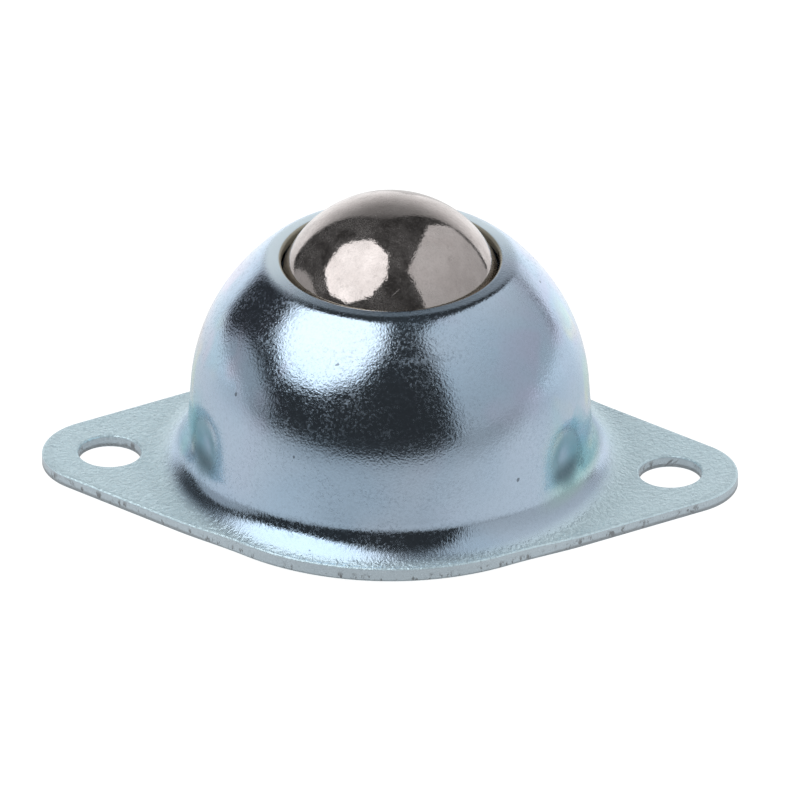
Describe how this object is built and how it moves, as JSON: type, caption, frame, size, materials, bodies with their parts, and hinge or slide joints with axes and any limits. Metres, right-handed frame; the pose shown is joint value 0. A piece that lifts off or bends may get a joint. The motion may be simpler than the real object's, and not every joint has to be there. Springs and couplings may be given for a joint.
{
  "type": "ball castor",
  "caption": "Ball castor: a domed pressed-steel housing with a drilled oval flange holds a polished steel ball that rolls every way on load balls.",
  "frame": {"origin": "in the mounting plane, on the ball's vertical axis", "axes": "+X along the flange from hole to hole, +Z from the mounting plane towards the ball"},
  "size_m": [0.0662, 0.0434, 0.029],
  "materials": {
    "housing_zinc": "bright zinc plate with a clear bluish passivate",
    "pan_zinc": "bright zinc plate",
    "cup_steel": "hardened and oiled steel",
    "ball_steel": "polished steel with fine rolling marks",
    "load_ball_steel": "polished bearing steel"
  },
  "bodies": {
    "frame": {"housing": "housing_zinc", "closing_pan": "pan_zinc", "race_cup": "cup_steel"},
    "load_balls": {"load_ball_01": "load_ball_steel", "load_ball_02": "load_ball_steel", "load_ball_03": "load_ball_steel", "load_ball_04": "load_ball_steel", "load_ball_05": "load_ball_steel", "load_ball_06": "load_ball_steel", "load_ball_07": "load_ball_steel", "load_ball_08": "load_ball_steel", "load_ball_09": "load_ball_steel", "load_ball_10": "load_ball_steel", "load_ball_11": "load_ball_steel", "load_ball_12": "load_ball_steel", "load_ball_13": "load_ball_steel", "load_ball_14": "load_ball_steel", "load_ball_15": "load_ball_steel", "load_ball_16": "load_ball_steel", "load_ball_17": "load_ball_steel", "load_ball_18": "load_ball_steel", "load_ball_19": "load_ball_steel", "load_ball_20": "load_ball_steel", "load_ball_21": "load_ball_steel", "load_ball_22": "load_ball_steel", "load_ball_23": "load_ball_steel", "load_ball_24": "load_ball_steel", "load_ball_25": "load_ball_steel", "load_ball_26": "load_ball_steel", "load_ball_27": "load_ball_steel", "load_ball_28": "load_ball_steel", "load_ball_29": "load_ball_steel", "load_ball_30": "load_ball_steel", "load_ball_31": "load_ball_steel", "load_ball_32": "load_ball_steel", "load_ball_33": "load_ball_steel", "load_ball_34": "load_ball_steel", "load_ball_35": "load_ball_steel", "load_ball_36": "load_ball_steel", "load_ball_37": "load_ball_steel", "load_ball_38": "load_ball_steel", "load_ball_39": "load_ball_steel", "load_ball_40": "load_ball_steel", "load_ball_41": "load_ball_steel", "load_ball_42": "load_ball_steel", "load_ball_43": "load_ball_steel", "load_ball_44": "load_ball_steel", "load_ball_45": "load_ball_steel", "load_ball_46": "load_ball_steel", "load_ball_47": "load_ball_steel", "load_ball_48": "load_ball_steel", "load_ball_49": "load_ball_steel", "load_ball_50": "load_ball_steel", "load_ball_51": "load_ball_steel", "load_ball_52": "load_ball_steel", "load_ball_53": "load_ball_steel"},
    "ball": {"main_ball": "ball_steel"}
  },
  "joints": [
    {"name": "ball_swivel", "type": "hinge", "parent": "frame", "child": "load_balls", "pos_m": [0, 0, 0.01788], "axis": [0, 0, 1], "continuous": true},
    {"name": "ball_roll", "type": "hinge", "parent": "load_balls", "child": "ball", "pos_m": [0, 0, 0.01788], "axis": [0, 1, 0], "continuous": true}
  ]
}
